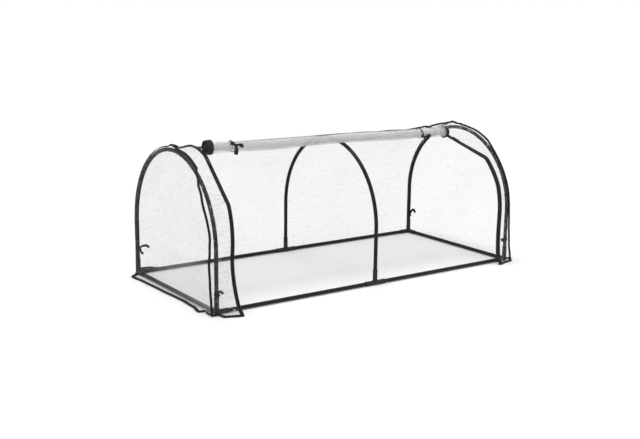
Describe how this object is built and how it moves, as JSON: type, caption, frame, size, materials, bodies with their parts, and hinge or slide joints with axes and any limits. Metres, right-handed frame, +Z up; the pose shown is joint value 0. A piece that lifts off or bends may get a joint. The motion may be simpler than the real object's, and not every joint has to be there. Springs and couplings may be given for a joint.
{
  "type": "row cover tunnel",
  "caption": "Low hooped garden tunnel with a clear film cover on a steel tube frame, its zipped front door rolled up and tied along the ridge.",
  "frame": {"origin": "on the ground below the middle of the tunnel", "axes": "+X along the tunnel, +Y away from the door, +Z up; the zipped door faces -Y"},
  "size_m": [1.9, 0.988, 0.7343],
  "materials": {
    "tubes": "dark grey powder coat, satin",
    "connectors": "black moulded plastic",
    "film": "clear soft film, creased and glossy",
    "bindings": "black woven binding tape, stitched",
    "zip_tape": "black zip tape with plastic coil teeth",
    "ties": "black woven tape",
    "zip_hardware": "black painted"
  },
  "bodies": {
    "tunnel": {"bow_left_front": "tubes", "bow_left_rear": "tubes", "bow_middle_front": "tubes", "bow_middle_rear": "tubes", "bow_right_front": "tubes", "bow_right_rear": "tubes", "corner_left_front": "connectors", "corner_left_rear": "connectors", "corner_right_front": "connectors", "corner_right_rear": "connectors", "cover_back": "film", "door_head": "film", "end_binding_left": "bindings", "end_binding_right": "bindings", "end_panel_left": "film", "end_panel_right": "film", "front_strip_left": "film", "front_strip_right": "film", "hem_end_left": "bindings", "hem_end_right": "bindings", "hem_front_left": "bindings", "hem_front_right": "bindings", "hem_rear": "bindings", "leg_left_front": "tubes", "leg_left_rear": "tubes", "leg_middle_front": "tubes", "leg_middle_rear": "tubes", "leg_right_front": "tubes", "leg_right_rear": "tubes", "leg_tie_left_front": "ties", "leg_tie_left_rear": "ties", "leg_tie_right_front": "ties", "leg_tie_right_rear": "ties", "rail_front_left": "tubes", "rail_front_right": "tubes", "rail_left_end": "tubes", "rail_rear_left": "tubes", "rail_rear_right": "tubes", "rail_right_end": "tubes", "ridge_seam": "bindings", "tee_front": "connectors", "tee_rear": "connectors", "tie_strap_left": "ties", "tie_strap_right": "ties", "zip_left": "zip_tape", "zip_right": "zip_tape"},
    "door": {"door_roll": "film", "door_zip_left": "zip_tape", "door_zip_right": "zip_tape", "roll_tie_left": "ties", "roll_tie_right": "ties"},
    "left_slider": {"zip_slider_left": "zip_hardware"},
    "left_pull": {"zip_pull_left": "zip_hardware"},
    "right_slider": {"zip_slider_right": "zip_hardware"},
    "right_pull": {"zip_pull_right": "zip_hardware"}
  },
  "joints": [
    {"name": "door_roll_down", "type": "hinge", "parent": "tunnel", "child": "door", "pos_m": [0, 0.01794, 0.23134], "axis": [1, 0, 0], "range_deg": [0, 91.1]},
    {"name": "left_zip", "type": "slide", "parent": "tunnel", "child": "left_slider", "axis": [0, -0.7284, -0.6852], "range_m": [0, 0.241]},
    {"name": "left_pull_swing", "type": "hinge", "parent": "left_slider", "child": "left_pull", "pos_m": [-0.81, -0.19806, 0.6608], "axis": [-1, 0, 0], "range_deg": [0, 150]},
    {"name": "right_zip", "type": "slide", "parent": "tunnel", "child": "right_slider", "axis": [0.6087, -0.6378, -0.4719], "range_m": [0, 0.19]},
    {"name": "right_pull_swing", "type": "hinge", "parent": "right_slider", "child": "right_pull", "pos_m": [0.67922, -0.19327, 0.66322], "axis": [-0.7934, -0.4893, -0.3621], "range_deg": [0, 150]}
  ]
}
